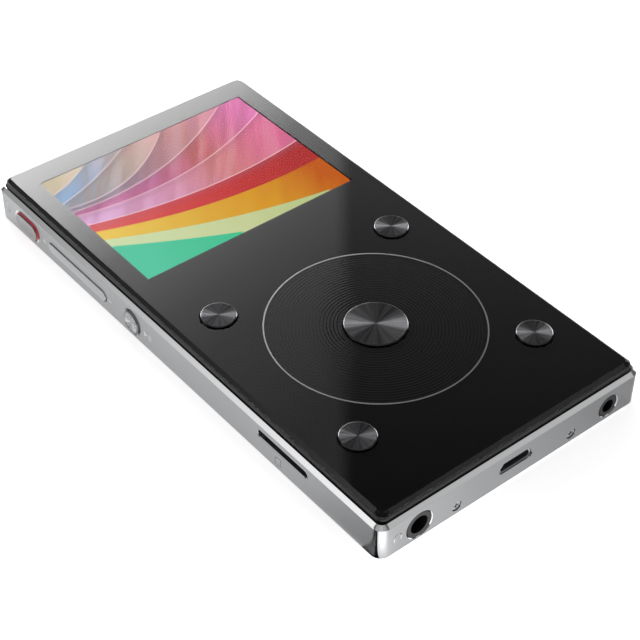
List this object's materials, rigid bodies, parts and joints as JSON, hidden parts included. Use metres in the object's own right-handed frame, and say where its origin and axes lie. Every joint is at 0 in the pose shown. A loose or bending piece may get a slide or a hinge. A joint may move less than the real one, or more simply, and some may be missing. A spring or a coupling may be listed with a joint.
{
  "type": "digital audio player",
  "caption": "Pocket digital audio player: slim aluminium tray body under bevelled black glass, colour display, round sprung front keys, side keys, card slot and headphone sockets.",
  "frame": {"origin": "centre of the flat back face", "axes": "+X to the right of the screen, +Y towards the screen end, +Z out of the screen"},
  "size_m": [0.0597, 0.1148, 0.0095],
  "materials": {
    "aluminium_body": "fine bead-blasted, rim chamfer polished",
    "black_moulding": "moulded, satin",
    "cover_glass": "clear, polished",
    "black_print": "printed film",
    "polished_metal": "machined and polished",
    "display": "polariser film",
    "white_film": "light guide",
    "pressed_steel": "pressed, tinned",
    "foam": "closed-cell foam",
    "flex": "polyimide film",
    "ivory_plastic": "moulded",
    "circuit_board": "solder mask",
    "chip": "moulded epoxy",
    "capacitor": "moulded",
    "gold_contact": "gold-plated",
    "battery_foil": "laminated foil",
    "tape": "double-sided tape",
    "lead": "silicone wire",
    "red_key": "anodised red",
    "dark_metal": "spun top, polished edge",
    "screw": "machine screw"
  },
  "bodies": {
    "player": {"housing": "aluminium_body", "front_chassis": "black_moulding", "cover_glass": "cover_glass", "print_mask": "black_print", "ring_inlay": "polished_metal", "lcd_panel": "display", "lcd_backlight": "white_film", "lcd_frame": "pressed_steel", "lcd_cushion": "foam", "display_flex": "flex", "display_connector": "ivory_plastic", "main_board": "circuit_board", "processor": "chip", "audio_converter": "chip", "headphone_amplifiers": "chip", "clock_oscillators": "pressed_steel", "capacitors": "capacitor", "processor_shield": "pressed_steel", "audio_shield": "pressed_steel", "dome_switches": "pressed_steel", "headphone_jack": "black_moulding", "headphone_contacts": "gold_contact", "balanced_jack": "black_moulding", "balanced_contacts": "gold_contact", "usb_shell": "pressed_steel", "usb_insert": "black_moulding", "card_socket": "black_moulding", "card_shield": "pressed_steel", "battery_pack": "battery_foil", "battery_tape": "tape", "battery_lead": "lead", "battery_connector": "ivory_plastic", "side_key_board": "circuit_board", "side_switches": "pressed_steel", "side_flex": "flex", "side_bracket": "pressed_steel", "rocker_pin": "pressed_steel", "end_screws": "screw", "board_screws": "screw"},
    "power_key": {"power_key_body": "red_key", "power_key_face": "polished_metal"},
    "volume_rocker": {"volume_rocker": "polished_metal"},
    "play_key": {"play_key": "polished_metal"},
    "centre_key": {"centre_key": "dark_metal"},
    "upper_left_key": {"upper_left_key": "dark_metal"},
    "upper_right_key": {"upper_right_key": "dark_metal"},
    "lower_left_key": {"lower_left_key": "dark_metal"},
    "lower_right_key": {"lower_right_key": "dark_metal"}
  },
  "joints": [
    {"name": "centre_key_press", "type": "slide", "parent": "player", "child": "centre_key", "axis": [0, 0, -1], "range_m": [0, 0.0003], "stiffness_N_per_m": 2000},
    {"name": "upper_left_key_press", "type": "slide", "parent": "player", "child": "upper_left_key", "axis": [0, 0, -1], "range_m": [0, 0.0003], "stiffness_N_per_m": 2000},
    {"name": "upper_right_key_press", "type": "slide", "parent": "player", "child": "upper_right_key", "axis": [0, 0, -1], "range_m": [0, 0.0003], "stiffness_N_per_m": 2000},
    {"name": "lower_left_key_press", "type": "slide", "parent": "player", "child": "lower_left_key", "axis": [0, 0, -1], "range_m": [0, 0.0003], "stiffness_N_per_m": 2000},
    {"name": "lower_right_key_press", "type": "slide", "parent": "player", "child": "lower_right_key", "axis": [0, 0, -1], "range_m": [0, 0.0003], "stiffness_N_per_m": 2000},
    {"name": "power_key_press", "type": "slide", "parent": "player", "child": "power_key", "axis": [1, 0, 0], "range_m": [0, 0.00025], "stiffness_N_per_m": 2000},
    {"name": "play_key_press", "type": "slide", "parent": "player", "child": "play_key", "axis": [1, 0, 0], "range_m": [0, 0.00025], "stiffness_N_per_m": 2000},
    {"name": "volume_rock", "type": "hinge", "parent": "player", "child": "volume_rocker", "pos_m": [-0.027, 0.02935, 0.0034], "axis": [0, 0, 1], "range_deg": [-1, 1], "stiffness_Nm_per_rad": 0.2}
  ]
}
